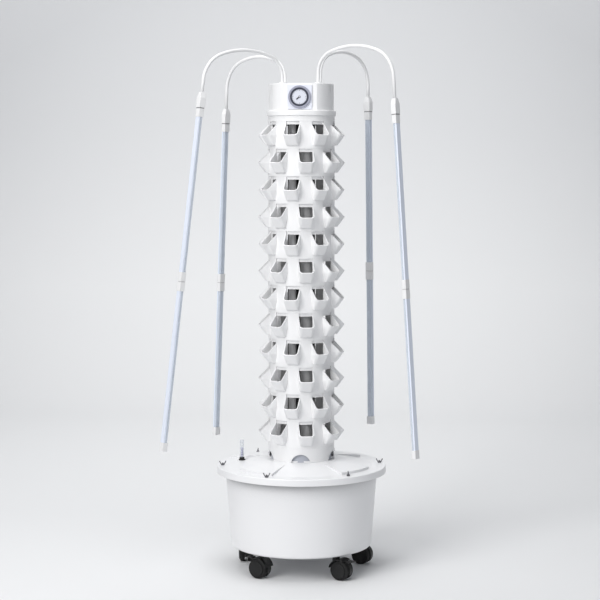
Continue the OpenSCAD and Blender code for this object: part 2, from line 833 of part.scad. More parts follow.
module gauge_grommet() {
    sleeve_r = gauge_hole_r - grommet_gap;
    color(black) at_gauge() difference() {
        union() {
            translate([0, 0, flange_top_z])
                cylinder(r = sleeve_r, h = gauge_boss_z + grommet_h - flange_top_z);
            translate([0, 0, gauge_boss_z]) cylinder(r = grommet_r, h = grommet_flange_t);
        }
        translate([0, 0, flange_top_z - cut])
            cylinder(r = gauge_tube_r + grommet_gap, h = grommet_h + gauge_boss_h + lid_t + 2 * cut);
    }
}

module gauge_tube() {
    tube_l = gauge_tube_drop + gauge_tube_rise;
    color(clear_blue) at_gauge() translate([0, 0, gauge_low_z]) difference() {
        cylinder(r = gauge_tube_r, h = tube_l);
        translate([0, 0, gauge_tube_wall])
            cylinder(r = gauge_tube_r - gauge_tube_wall, h = tube_l - 2 * gauge_tube_wall);
        translate([0, 0, -cut]) cylinder(r = float_rod_r + float_rod_gap, h = gauge_tube_wall + 2 * cut);
    }
}

module gauge_float() {
    color("royalblue") at_gauge() {
        translate([0, 0, float_top_z - float_h]) cylinder(r = float_r, h = float_h);
        translate([0, 0, float_top_z - cut])
            cylinder(r = float_rod_r, h = gauge_boss_z + float_rod_rise - float_top_z + cut);
    }
}

// Pump

module pump_body() {
    color(black) {
        difference() {
            translate([-pump_w / 2, -pump_front, tank_floor_z]) cube([pump_w, pump_front - spare, pump_h]);
            translate([0, 0, tank_floor_z - cut]) cylinder(r = column_r + pipe_gap, h = pump_h + 2 * cut);
        }
        translate(riser_at) translate([0, 0, pump_top_z - cut])
            cylinder(r = riser_r - riser_wall - hold_gap, h = nozzle_l + cut);
    }
}

// Head cap

module cap_outline() {
    difference() {
        polygon([
            [0, -cap_ring_h], [spigot_r, -cap_ring_h], [spigot_r, 0], [cap_rim_r, 0], [cap_rim_r, cap_rim_h],
            [cap_r, cap_rim_h], [cap_r, cap_h], [0, cap_h]
        ]);
        corner_waste(cap_r, cap_h, cap_edge_r);
        corner_waste(cap_rim_r, cap_rim_h, cap_edge_r);
    }
}

// Space in front of the cap's flat face, from the height z up
module before_flat(y, z) {
    translate([-cap_rim_r, y - cap_rim_r, z]) cube([2 * cap_rim_r, cap_rim_r, cap_h + 2 * cap_ring_h]);
}

module cap_inside() {
    inner_h = cap_ring_h + cap_h - cap_wall;
    difference() {
        translate([0, 0, -cap_ring_h - cut]) cylinder(r = spigot_in_r, h = inner_h + cut);
        before_flat(-cap_flat + cap_wall, cap_rim_h - cap_wall);
    }
}

module head_cap() {
    translate([0, 0, cap_z]) color(white) difference() {
        rotate_extrude() cap_outline();
        before_flat(-cap_flat, cap_rim_h);
        cap_inside();
        translate([0, -cap_flat - cut, dial_z - cap_z]) rotate([-90, 0, 0])
            cylinder(r = timer_body_r + timer_body_gap, h = cap_wall + 2 * cut);
        for (az = bush_az) at_azimuth(az)
            translate([bush_xy * sqrt(2), 0, cap_h - cap_wall - cut])
                cylinder(r = bush_r + bush_gap, h = cap_wall + 2 * cut);
        for (az = [-slot_az, slot_az]) at_azimuth(az)
            translate([spigot_in_r - cut, -slot_w / 2, cap_h - slot_top - slot_h])
                cube([spare, slot_w, slot_h]);
    }
}

// Timer

// Puts a shape that is drawn with its front towards +Z in front of the cap, from y back
module on_dial(y) {
    translate([0, y, dial_z]) rotate([90, 0, 0]) children();
}

module timer_plate() {
    color("#d9d9e2") {
        translate([-timer_w / 2, plate_y, dial_z - timer_h / 2]) cube([timer_w, timer_t, timer_h]);
        on_dial(-cap_flat + timer_body_d) cylinder(r = timer_body_r, h = timer_body_d + cut);
        on_dial(plate_y + cut) difference() {
            cylinder(r = bezel_r, h = bezel_h + cut);
            translate([0, 0, -cut]) cylinder(r = bezel_r - bezel_wall, h = bezel_h + 3 * cut);
        }
    }
}

module timer_face() {
    color(white) {
        on_dial(plate_y) cylinder(r = face_r, h = face_t);
        on_dial(face_y + cut) cylinder(r = spindle_r, h = hand_t + 2 * ring_lift + cut);
    }
}

module timer_ring() {
    color("#3b3d46") on_dial(plate_y - ring_lift) difference() {
        cylinder(r = ring_r, h = ring_t);
        translate([0, 0, -cut]) cylinder(r = ring_in_r, h = ring_t + 2 * cut);
        for (k = [0:pin_count - 1]) rotate([0, 0, k * 360 / pin_count])
            translate([ring_r - pin_l, -pin_gap_w / 2, ring_t / 2]) cube([spare, pin_gap_w, ring_t]);
    }
}

module timer_hand() {
    color(black) on_dial(face_y - ring_lift) rotate([0, 0, -hand_turn]) difference() {
        union() {
            cylinder(r = hand_w, h = hand_t);
            linear_extrude(hand_t) polygon([
                [-hand_w / 2, 0], [hand_w / 2, 0], [hand_w / 2, hand_l - hand_w],
                [0, hand_l], [-hand_w / 2, hand_l - hand_w]
            ]);
        }
        translate([0, 0, -cut]) cylinder(r = spindle_r + spindle_gap, h = hand_t + 2 * cut);
    }
}

// Light arms

module at_bush(i) {
    at_azimuth(bush_az[i]) translate([bush_xy * sqrt(2), 0, cap_top_z]) children();
}

// Frame of an arm: +X along its reach, Z up from the cap's top
module at_arm(i) {
    translate([bush_xy * sqrt(2) * sin(bush_az[i]), -bush_xy * sqrt(2) * cos(bush_az[i]), cap_top_z])
        at_azimuth(arm_az[i]) children();
}

module arm_bushings() {
    color(white) for (i = [0:len(bush_az) - 1]) at_bush(i) difference() {
        union() {
            translate([0, 0, -bush_depth]) cylinder(r = bush_r, h = bush_depth + cut);
            cylinder(r = bush_flange_r, h = bush_flange_h);
        }
        translate([0, 0, -bush_depth + bush_floor_t])
            cylinder(r = neck_r + neck_gap, h = bush_depth + bush_flange_h);
        translate([0, 0, -bush_depth - cut]) cylinder(r = neck_r / 2, h = bush_floor_t + 2 * cut);
    }
}

// A bend of the gooseneck about the centre [x, z], from angle a back through turn, with lap more at each end
module bend(centre, r, a, turn, tube_r, lap) {
    more = lap / r * 180 / PI;
    translate([centre[0], 0, centre[1]]) rotate([90, 0, 0]) rotate([0, 0, a - turn - more])
        rotate_extrude(angle = turn + 2 * more) translate([r, 0]) circle(tube_r);
}

function last_bend(i) = 180 - bend_sum - arm_lean[i];
function polar(r, a) = [r * cos(a), r * sin(a)];
function first_centre(i) = [first_bend_r, rise(i)];
function bow_centre(i) = first_centre(i) + polar(first_bend_r - bow_r(i), 180 - first_bend);
function last_centre(i) = bow_centre(i) + polar(bow_r(i) - last_bend_r, 180 - bend_sum);
function socket_at(i) = last_centre(i) + polar(last_bend_r, arm_lean[i]) + polar(tail_l(i), arm_lean[i] - 90);

// The two tight bends are drawn a hair thinner and run on inside the lengths next to them
module gooseneck(i) {
    tail = tail_l(i) + socket_bore_l - ring_lift;
    color(white) at_arm(i) {
        translate([0, 0, neck_low_z]) cylinder(r = neck_r, h = rise(i) - neck_low_z);
        bend(first_centre(i), first_bend_r, 180, first_bend, neck_r - neck_step, neck_lap);
        bend(bow_centre(i), bow_r(i), 180 - first_bend, bow_bend, neck_r, 0);
        bend(last_centre(i), last_bend_r, 180 - bend_sum, last_bend(i), neck_r - neck_step, neck_lap);
        at_socket(i) translate([0, 0, -socket_bore_l + ring_lift]) cylinder(r = neck_r, h = tail);
    }
}

// Lights

// Frame of a light in its arm's frame: Z up along the light, from its socket's top
module at_socket(i) {
    translate([socket_at(i)[0], 0, socket_at(i)[1]]) rotate([0, -arm_lean[i], 0]) children();
}

// A plain block that hangs down from z
module block(d, w, z, l) {
    translate([-d / 2, -w / 2, z - l]) cube([d, w, l]);
}

// A block with a groove round it at the distance seam from its top
module seamed_block(z, l, seam) {
    difference() {
        block(fitting_d, fitting_w, z, l);
        difference() {
            block(fitting_d + spare, fitting_w + spare, z - seam, seam_w);
            block(fitting_d - 2 * seam_d, fitting_w - 2 * seam_d, z - seam + cut, seam_w + 2 * cut);
        }
    }
}

module taper_outline(w) {
    top = neck_r + socket_gap + socket_lip;
    low = -socket_l - cut;
    polygon([
        [-w / 2, low], [w / 2, low], [w / 2, -socket_taper],
        [top, 0], [-top, 0], [-w / 2, -socket_taper]
    ]);
}

// A socket tapers up to its gooseneck and has a narrower collar below
module socket() {
    difference() {
        intersection() {
            block(socket_d, socket_w, 0, socket_l);
            across_width(socket_w + cut) taper_outline(socket_d);
            along_radius(-socket_d, 2 * socket_d) taper_outline(socket_w);
        }
        translate([0, 0, -socket_bore_l]) cylinder(r = neck_r + socket_gap, h = socket_bore_l + cut);
    }
    block(fitting_d, fitting_w, cut - socket_l, ring_l + cut);
}

module fittings(i) {
    color(white) at_arm(i) at_socket(i) {
        socket();
        seamed_block(link_z, link_l, (link_l - seam_w) / 2);
        block(fitting_d, fitting_w, end_z, end_l);
    }
}

module tube_back(l) {
    translate([back_x, -tube_w / 2, -l]) cube([back_d, tube_w, l]);
    translate([back_x - board_t, -board_w / 2, -l]) cube([board_t + cut, board_w, l]);
}

module backs(i) {
    color("#c9cbd4") at_arm(i) at_socket(i) {
        translate([0, 0, upper_tube_z]) tube_back(tube_l);
        translate([0, 0, lower_tube_z]) tube_back(low_tube_l);
    }
}

// Outline of a cover, rounded on the side towards the plants
module cover_outline(inset) {
    w = tube_w - 2 * inset;
    c = cover_corner_r - inset;
    x = -tube_d / 2 + inset;
    translate([x + c, -w / 2]) square([back_x - x - c, w]);
    translate([x, c - w / 2]) square([back_x - x, w - 2 * c]);
    for (side = [-1, 1]) translate([x + c, side * (w / 2 - c)]) circle(c);
}

module tube_cover(l) {
    translate([0, 0, -l]) linear_extrude(l) difference() {
        cover_outline(0);
        cover_outline(cover_wall);
    }
}

module covers(i) {
    color(clear_blue) at_arm(i) at_socket(i) {
        translate([0, 0, upper_tube_z]) tube_cover(tube_l);
        translate([0, 0, lower_tube_z]) tube_cover(low_tube_l);
    }
}

// Casters

// Caster 1 is at the front right and the rest follow round the back
module at_caster(i) {
    at_azimuth(stem_az(i)) translate([caster_circle_r, 0, 0]) children();
}

module at_casters() {
    for (i = [1:caster_count]) at_caster(i) children();
}

// Frame of a caster at rest: the axle lies on -X, which points the way that the caster trails
module trailing(i) {
    at_caster(i) rotate([0, 0, caster_az[i - 1] - stem_az(i) + 180]) children();
}

// A round bar along the axle's direction
module crossbar(x, z, r, half_w) {
    translate([x, 0, z]) rotate([90, 0, 0]) cylinder(r = r, h = 2 * half_w, center = true);
}

// Arc of the hood round the axle, between two angles counted up from the front
module hood_arc(from, to) {
    translate([-trail, 0, wheel_r]) rotate([90, 0, 0]) rotate([0, 0, from])
        rotate_extrude(angle = to - from)
            translate([hood_in_r, -hood_half_w]) square([hood_t, 2 * hood_half_w]);
}

module hood(i, braked) {
    neck_top = caster_h - neck_top_gap;
    neck_h = caster_h - wheel_r - wheel_r / 2;
    color(black) trailing(i) {
        hood_arc(hood_front, hood_rear);
        difference() {
            translate([0, 0, neck_top - neck_h]) cylinder(r = caster_neck_r, h = neck_h);
            crossbar(-trail, wheel_r, hood_in_r + hood_t / 2, hood_half_w + spare);
        }
        translate([0, 0, neck_top - cut]) cylinder(r = stem_r, h = stem_l - cut);
        intersection() {
            crossbar(-trail, wheel_r, hood_in_r + hood_t / 2, web_t / 2);
            translate([-trail - hood_r, -hood_r, wheel_r - caster_hub_r])
                cube([2 * hood_r, 2 * hood_r, 2 * hood_r]);
        }
        crossbar(-trail, wheel_r, axle_r, hood_half_w - caster_cap_t - web_gap);
        if (braked) brake_bracket();
    }
}

// Arm of the web that carries a brake pedal's pin
module brake_bracket() {
    bar_l = pedal_pivot_r - hood_in_r + hood_t;
    bar_t = 2 * (pedal_eye_r - cut);
    translate([-trail, 0, wheel_r]) rotate([0, -pedal_pivot_az, 0])
        translate([pedal_pivot_r - bar_l, -web_t / 2, -bar_t / 2]) cube([bar_l, web_t, bar_t]);
    crossbar(pedal_x, pedal_z, pedal_eye_r, web_t / 2);
    crossbar(pedal_x, pedal_z, pedal_pin_r, pedal_cheek_y + pedal_cheek_t - ring_lift);
}

// A wheel's outline from its inner face at y = 0 to its domed cap
module wheel_outline() {
    difference() {
        union() {
            square([wheel_r, wheel_t - caster_cap_t]);
            translate([0, wheel_t - caster_cap_t - cut])
                square([wheel_r - wheel_edge_r - caster_cap_t, caster_cap_t + cut]);
        }
        corner_waste(wheel_r, wheel_t - caster_cap_t, wheel_edge_r);
        square([axle_r + axle_gap, wheel_t - caster_cap_t]);
    }
}

module wheels(i) {
    color(black) trailing(i) for (side = [-90, 90])
        translate([-trail, -sign(side) * wheel_y, wheel_r]) rotate([side, 0, 0])
            rotate_extrude() wheel_outline();
}

module brake(i) {
    color(black) trailing(i) translate([pedal_x, 0, pedal_z]) {
        for (side = [-1, 1]) translate([0, side * (pedal_cheek_y + pedal_cheek_t / 2), 0]) pedal_cheek();
        translate([-pedal_l, -pedal_cheek_y - pedal_cheek_t, 0])
            cube([pedal_l - pedal_eye_r - ring_lift, 2 * (pedal_cheek_y + pedal_cheek_t), pedal_t]);
    }
}

module pedal_cheek() {
    rotate([90, 0, 0]) linear_extrude(pedal_cheek_t, center = true) difference() {
        union() {
            circle(pedal_eye_r);
            translate([-pedal_eye_r - pedal_t, 0]) square([pedal_eye_r + pedal_t, pedal_t]);
        }
        circle(pedal_pin_r + pedal_gap);
    }
}

tier(1);  // tier_01
tier(2);  // tier_02
tier(3);  // tier_03
tier(4);  // tier_04
tier(5);  // tier_05
tier(6);  // tier_06
tier(7);  // tier_07
tier(8);  // tier_08
tier(9);  // tier_09
tier(10);  // tier_10
tier(11);  // tier_11
tier(12);  // tier_12
tower_base();
top_collar();
drip_plate();
core_column();
riser_pipe();
cable_duct();
tank();
tank_lid();
lid_studs();
wing_nuts();
gauge_grommet();
gauge_tube();
gauge_float();
pump_body();
head_cap();
timer_plate();
timer_face();
timer_ring();
timer_hand();
arm_bushings();
gooseneck(0);  // light_1_gooseneck
fittings(0);  // light_1_fittings
backs(0);  // light_1_backs
covers(0);  // light_1_covers
gooseneck(1);  // light_2_gooseneck
fittings(1);  // light_2_fittings
backs(1);  // light_2_backs
covers(1);  // light_2_covers
gooseneck(2);  // light_3_gooseneck
fittings(2);  // light_3_fittings
backs(2);  // light_3_backs
covers(2);  // light_3_covers
gooseneck(3);  // light_4_gooseneck
fittings(3);  // light_4_fittings
backs(3);  // light_4_backs
covers(3);  // light_4_covers
hood(1, true);  // caster_1_hood
wheels(1);  // caster_1_wheels
brake(1);  // caster_1_brake
hood(2, false);  // caster_2_hood
wheels(2);  // caster_2_wheels
hood(3, false);  // caster_3_hood
wheels(3);  // caster_3_wheels
hood(4, false);  // caster_4_hood
wheels(4);  // caster_4_wheels
hood(5, true);  // caster_5_hood
wheels(5);  // caster_5_wheels
brake(5);  // caster_5_brake
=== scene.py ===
"""Looks of the hydroponic tower: materials, bent goosenecks, light strips, dial marks, studio and camera."""
import json
import math

import bpy
import bmesh
from mathutils import Matrix, Vector


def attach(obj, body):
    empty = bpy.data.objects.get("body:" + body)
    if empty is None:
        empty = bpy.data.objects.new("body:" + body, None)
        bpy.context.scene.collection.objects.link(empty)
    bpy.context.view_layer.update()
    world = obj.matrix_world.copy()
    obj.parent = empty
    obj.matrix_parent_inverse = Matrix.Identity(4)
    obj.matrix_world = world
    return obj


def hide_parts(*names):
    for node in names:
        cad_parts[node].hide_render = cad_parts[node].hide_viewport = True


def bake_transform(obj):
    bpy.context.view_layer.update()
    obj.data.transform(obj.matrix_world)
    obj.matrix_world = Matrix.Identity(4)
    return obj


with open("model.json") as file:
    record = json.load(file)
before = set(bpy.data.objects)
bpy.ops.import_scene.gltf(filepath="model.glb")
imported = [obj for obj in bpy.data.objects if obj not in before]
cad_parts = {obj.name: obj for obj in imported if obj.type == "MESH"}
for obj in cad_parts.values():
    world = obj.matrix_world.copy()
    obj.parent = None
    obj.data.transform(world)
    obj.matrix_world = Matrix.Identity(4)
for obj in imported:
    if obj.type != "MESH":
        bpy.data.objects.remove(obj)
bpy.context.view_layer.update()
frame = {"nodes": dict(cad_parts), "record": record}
nodes = frame["nodes"]


# Shader helpers

def rgb(c, share=1.0):
    """A colour with its alpha, at a share of its brightness."""
    return (c[0] * share, c[1] * share, c[2] * share, 1.0)


class Shader:
    """A material with one main shader and short calls for the nodes that feed it."""

    COAT_ROUGH = 0.15
    EDGE_SAMPLES, SKY_SAMPLES = 4, 8
    GRAIN_DEPTH = 0.0004

    def __init__(self, name, rough, metallic=0.0, coat=0.0):
        self.material = bpy.data.materials.new(name)
        self.material.use_nodes = True
        self.nodes = self.material.node_tree.nodes
        self.links = self.material.node_tree.links
        self.nodes.clear()
        self.out = self.nodes.new("ShaderNodeOutputMaterial")
        self.main = self.nodes.new("ShaderNodeBsdfPrincipled")
        self.links.new(self.main.outputs[0], self.out.inputs[0])
        self.give("Roughness", rough)
        self.give("Metallic", metallic)
        self.give("Coat Weight", coat)
        self.give("Coat Roughness", self.COAT_ROUGH)

    def feed(self, socket, value):
        """Sets a socket to a number, vector or colour, or links it to another socket."""
        if isinstance(value, bpy.types.NodeSocket):
            self.links.new(value, socket)
        else:
            socket.default_value = value

    def give(self, name, value):
        self.feed(self.main.inputs[name], value)

    def math(self, op, *values, clamp=False):
        n = self.nodes.new("ShaderNodeMath")
        n.operation = op
        n.use_clamp = clamp
        for socket, value in zip(n.inputs, values):
            self.feed(socket, value)
        return n.outputs[0]

    def vector(self, op, *values):
        n = self.nodes.new("ShaderNodeVectorMath")
        n.operation = op
        for socket, value in zip(n.inputs, values):
            self.feed(socket, value)
        return n.outputs["Value" if op in ("LENGTH", "DOT_PRODUCT") else "Vector"]

    def mix(self, share, a, b):
        n = self.nodes.new("ShaderNodeMix")
        n.data_type = "RGBA"
        for i, value in ((0, share), (6, a), (7, b)):
            self.feed(n.inputs[i], value)
        return n.outputs[2]

    def axes(self, point):
        n = self.nodes.new("ShaderNodeSeparateXYZ")
        self.links.new(point, n.inputs[0])
        return n.outputs

    def geometry(self):
        return self.nodes.new("ShaderNodeNewGeometry").outputs

    def cloud(self, scale, detail=3.0):
        n = self.nodes.new("ShaderNodeTexNoise")
        n.inputs["Scale"].default_value = scale
        n.inputs["Detail"].default_value = detail
        self.links.new(self.nodes.new("ShaderNodeTexCoord").outputs["Object"], n.inputs["Vector"])
        return n.outputs[0]

    def uneven(self, color, scale, share):
        """A colour that wanders softly down to a share of itself."""
        return self.mix(self.cloud(scale), rgb(color), rgb(color, share))

    def open_sky(self, reach):
        """1 where nothing stands within reach of the surface, less in hollows."""
        n = self.nodes.new("ShaderNodeAmbientOcclusion")
        n.samples = self.SKY_SAMPLES
        n.inputs["Distance"].default_value = reach
        return n.outputs["AO"]

    def soft_edges(self, radius, grain, strength):
        """Rounds the edges in the shading and adds a fine grain."""
        bevel = self.nodes.new("ShaderNodeBevel")
        bevel.samples = self.EDGE_SAMPLES
        bevel.inputs["Radius"].default_value = radius
        bump = self.nodes.new("ShaderNodeBump")
        bump.inputs["Strength"].default_value = strength
        bump.inputs["Distance"].default_value = self.GRAIN_DEPTH
        self.links.new(self.cloud(grain, 2.0), bump.inputs["Height"])
        self.links.new(bevel.outputs[0], bump.inputs["Normal"])
        self.give("Normal", bump.outputs[0])


# Materials

def plastic(name, color, shade, rough, edge, grain, strength, metallic=0.0, coat=0.0, painted_hollow_shading=None):
    """Moulded plastic or metal: slightly uneven colour and sheen, fine grain, softened edges.

    With a reach and a darkest share given, the colour gets painted shade under ledges and in hollows.
    """
    sheen_swing = 0.16
    s = Shader(name, rough, metallic, coat)
    wide = s.cloud(6.0)
    tint = s.mix(wide, rgb(color), rgb(color, shade))
    # Painted shade: darker where other surfaces stand within reach
    if painted_hollow_shading:
        reach, darkest = painted_hollow_shading
        tint = s.mix(s.open_sky(reach), rgb(color, darkest), tint)
    s.give("Base Color", tint)
    s.give("Roughness", s.math("MULTIPLY_ADD", wide, sheen_swing, rough - sheen_swing / 2))
    s.soft_edges(edge, grain, strength)
    return s.material


def tower_plastic(name, color, painted_hollow_shading, inner, inner_r, sleeve, sleeve_r, sleeve_z):
    """White moulding with painted light and shade: palest in hollows, lighter on the inner walls towards the axis as if
    lit through the thin walls, and painted shade on the sleeve behind the arches.
    """
    painted_shading_reach, facing = 0.05, 0.5
    s = Shader(name, rough=0.3, coat=0.1)
    geo = s.geometry()
    flat = s.vector("MULTIPLY", geo["Position"], (1, 1, 0))
    radius = s.vector("LENGTH", flat)
    outward = s.vector("DOT_PRODUCT", geo["True Normal"], s.vector("NORMALIZE", flat))
    height = s.axes(geo["Position"])[2]

    # Painted light: palest where other surfaces stand close, in hollows and pockets
    shell = s.mix(s.open_sky(painted_shading_reach), rgb(painted_hollow_shading), s.uneven(color, 5.0, 0.97))
    # Painted light on the inner walls towards the axis, lighter than the outside as if lit through the thin walls
    inside = s.math("MULTIPLY", s.math("LESS_THAN", outward, -facing), s.math("LESS_THAN", radius, inner_r))
    walls = s.mix(inside, shell, s.uneven(inner, 9.0, 0.94))
    # Painted shade on the sleeve behind the arches, which lies recessed in shadow
    deep = s.math("MULTIPLY", s.math("GREATER_THAN", outward, facing), s.math("LESS_THAN", radius, sleeve_r))
    behind = s.math("MULTIPLY", deep, s.math("LESS_THAN", height, sleeve_z))
    s.give("Base Color", s.mix(behind, walls, rgb(sleeve)))
    s.soft_edges(0.0014, 140.0, 0.03)
    return s.material


def clear_plastic(name, color, alpha, rough):
    """Thin clear moulding: part see-through, part a pale glossy skin."""
    s = Shader(name, rough, coat=0.4)
    s.give("Base Color", s.uneven(color, 30.0, 0.95))
    skin = s.nodes.new("ShaderNodeLayerWeight")
    skin.inputs["Blend"].default_value = 0.35
    s.give("Alpha", s.math("MULTIPLY_ADD", skin.outputs["Facing"], 1.0 - alpha, alpha, clamp=True))
    return s.material


def timer_plastic(name, plate, rim, centre, rim_r):
    """Pale plate with a darker moulded rim round the dial."""
    s = Shader(name, rough=0.28, coat=0.3)
    away = s.vector("SUBTRACT", s.geometry()["Position"], centre)
    radius = s.vector("LENGTH", s.vector("MULTIPLY", away, (1, 0, 1)))
    within = s.math("LESS_THAN", radius, rim_r)
    s.give("Base Color", s.mix(within, s.uneven(plate, 20.0, 0.97), rgb(rim)))
    s.soft_edges(0.0006, 200.0, 0.02)
    return s.material


DIAL = (0.0, -0.098, 1.5535)

# Name: colour, its darker share, roughness, edge radius, grain scale, grain strength, further settings
PLASTICS = {
    "tank_plastic": ((0.84, 0.842, 0.856), 0.975, 0.3, 0.002, 120.0, 0.02, dict(coat=0.1)),
    # The tank's white with painted shade under the lid's skirt
    "tank_wall": ((0.845, 0.847, 0.861), 0.975, 0.3, 0.002, 120.0, 0.02, dict(coat=0.1, painted_hollow_shading=(0.07, 0.15))),
    "neck_white": ((0.82, 0.822, 0.828), 0.96, 0.4, 0.0005, 220.0, 0.03, {}),
    "fitting_white": ((0.83, 0.832, 0.84), 0.97, 0.3, 0.0016, 200.0, 0.02, {}),
    "light_back": ((0.83, 0.885, 1.0), 0.97, 0.34, 0.0008, 300.0, 0.02, dict(metallic=0.1)),
    "light_strip": ((0.75, 0.83, 0.97), 0.93, 0.35, 0.0002, 200.0, 0.03, {}),
    "light_chip": ((0.62, 0.6, 0.45), 0.9, 0.3, 0.0001, 300.0, 0.02, {}),
    # Dark slabs that paint the shadow in the seam under the socket and in the link's groove
    "seam_shadow_grey": ((0.2, 0.2, 0.21), 0.9, 0.5, 0.0002, 200.0, 0.02, {}),
    "groove_shadow_grey": ((0.5, 0.5, 0.51), 0.95, 0.5, 0.0002, 200.0, 0.02, {}),
    "grey_pipe": ((0.72, 0.72, 0.73), 0.95, 0.25, 0.0005, 90.0, 0.02, dict(coat=0.5)),
    "duct_grey": ((0.44, 0.44, 0.445), 0.95, 0.5, 0.0005, 90.0, 0.02, {}),
    "black_plastic": ((0.007, 0.007, 0.0075), 0.7, 0.42, 0.0014, 260.0, 0.12, {}),
    "wheel_black": ((0.004, 0.004, 0.0045), 0.7, 0.7, 0.0018, 200.0, 0.1, {}),
    "black_rubber": ((0.014, 0.014, 0.014), 0.7, 0.6, 0.0008, 240.0, 0.1, {}),
    "float_blue": ((0.5, 0.5, 0.78), 0.9, 0.3, 0.0004, 200.0, 0.02, {}),
    "gauge_band": ((0.1, 0.07, 0.4), 0.9, 0.3, 0.0002, 200.0, 0.02, {}),
    "steel": ((0.2, 0.2, 0.215), 0.75, 0.32, 0.0005, 260.0, 0.1, dict(metallic=0.9)),
    "timer_white": ((0.7, 0.72, 0.8), 0.97, 0.3, 0.0006, 200.0, 0.02, {}),
    "timer_dark": ((0.08, 0.085, 0.115), 0.85, 0.25, 0.0004, 200.0, 0.03, dict(coat=0.5)),
}
MATERIALS = {name: plastic(name, *row[:-1], **row[-1]) for name, row in PLASTICS.items()}
# The tower's white, with painted light in hollows and on the inner walls and painted shade on the sleeve
MATERIALS["white_plastic"] = tower_plastic(
    "white_plastic", color=(0.85, 0.852, 0.862), painted_hollow_shading=(0.98, 0.98, 0.985),
    inner=(0.95, 0.945, 0.945), inner_r=0.1062, sleeve=(0.48, 0.5, 0.56), sleeve_r=0.1005, sleeve_z=0.43)
MATERIALS["light_cover"] = clear_plastic("light_cover", (0.83, 0.9, 1.0), alpha=0.42, rough=0.22)
MATERIALS["clear_tube"] = clear_plastic("clear_tube", (0.8, 0.84, 0.9), alpha=0.16, rough=0.08)
MATERIALS["timer_case"] = timer_plastic(
    "timer_case", plate=(0.8, 0.82, 0.91), rim=(0.34, 0.35, 0.43), centre=DIAL, rim_r=0.0363)


def dress(node, material):
    slots = nodes[node].data.materials
    slots.clear()
    slots.append(MATERIALS[material])


for part in frame["record"]["subparts"]:
    dress(part["node"], part["material_slot"])

# Seen through the windows the column is black and the duct a dull grey; the tank has painted shade under the lid's
# skirt
dress("core_column", "black_plastic")
dress("cable_duct", "duct_grey")
dress("tank", "tank_wall")


# Mesh helpers

UP = Vector((0, 0, 1))
RING_X, RING_Y = Vector((1, 0, 0)), Vector((0, 1, 0))


def polar(az, r, z=0.0):
    """A point at distance r from the tower's axis, az degrees round from the front."""
    a = math.radians(az)
    return Vector((r * math.sin(a), -r * math.cos(a), z))


def mesh_object(name, bm, mat, smooth=False):
    me = bpy.data.meshes.new(name)
    bm.normal_update()
    bm.to_mesh(me)
    bm.free()
    for poly in me.polygons:
        poly.use_smooth = smooth
    me.materials.append(mat)
    ob = bpy.data.objects.new(name, me)
    bpy.context.scene.collection.objects.link(ob)
    return ob


def add_slab(bm, centre, half, turn):
    """A six-sided block with its own axes, given by its half lengths."""
    ends = (-1, 1)
    vs = [bm.verts.new(centre + turn @ Vector((x * half[0], y * half[1], z * half[2])))
          for x in ends for y in ends for z in ends]
    for a, b, c, d in ((0, 1, 3, 2), (4, 6, 7, 5), (0, 4, 5, 1), (2, 3, 7, 6), (0, 2, 6, 4), (1, 5, 7, 3)):
        bm.faces.new((vs[a], vs[b], vs[c], vs[d]))


def add_ring(bm, centre, radius, u, v, count):
    angles = (2 * math.pi * k / count for k in range(count))
    return [bm.verts.new(centre + radius * (math.cos(a) * u + math.sin(a) * v)) for a in angles]


def join_rings(bm, rings):
    for r0, r1 in zip(rings, rings[1:]):
        for k in range(len(r0)):
            n = (k + 1) % len(r0)
            bm.faces.new((r0[k], r0[n], r1[n], r1[k]))


def add_tube(bm, points, radius, side):
    """A round tube through points that lie in one upright plane whose normal is side."""
    rings = []
    for i, p in enumerate(points):
        t = (points[min(i + 1, len(points) - 1)] - points[max(i - 1, 0)]).normalized()
        rings.append(add_ring(bm, p, radius, side, side.cross(t).normalized(), 20))
    join_rings(bm, rings)
    bm.faces.new(list(reversed(rings[0])))
    bm.faces.new(rings[-1])


# Goosenecks and lights

CAP_TOP = 1.598
BUSH = 0.058
ARMS = {
    1: dict(bush=(-1, -1), az=-52.4, reach=0.300, apex=0.101, drop=0.036, lean=7.5),
    2: dict(bush=(1, -1), az=56.9, reach=0.296, apex=0.114, drop=0.056, lean=4.3),
    3: dict(bush=(1, 1), az=144.4, reach=0.262, apex=0.114, drop=0.031, lean=1.1),
    4: dict(bush=(-1, 1), az=-128.8, reach=0.275, apex=0.098, drop=0.072, lean=2.8),
}
# Radii of the first and the last bend, angles of the first bend and of the bow between them
R_FIRST, R_LAST = 0.070, 0.100
BEND_FIRST, BEND_BOW = math.radians(70), math.radians(40)
BEND_SUM = BEND_FIRST + BEND_BOW
# Radius of the neck, its foot below the cap's top and its end inside the socket
NECK_R, NECK_FOOT, NECK_IN = 0.0055, 0.0247, 0.0177

# Strips of light chips behind the clear covers: start below the socket's top and half length, upper and lower tube
STRIP_SPANS = ((0.077, 0.244), (0.625, 0.2385))
STRIP_OUT, STRIP_THICK, STRIP_WIDE, STRIP_SHORT = 0.00035, 0.00012, 0.0058, 0.0002
CHIP_IN, CHIP_STEP, CHIP_MARGIN, CHIP_HALF = 0.00025, 0.016, 0.012, (0.0005, 0.0014, 0.0018)
# Painted shadow lines at the socket's lower edge and in the link's groove, dark slabs where these gaps lie in shade:
# place below the socket's top and half lengths
SEAM_AT, SEAM_HALF = 0.0493, (0.00795, 0.01095, 0.0012)
GROOVE_AT, GROOVE_HALF = 0.595, (0.0067, 0.0097, 0.00085)


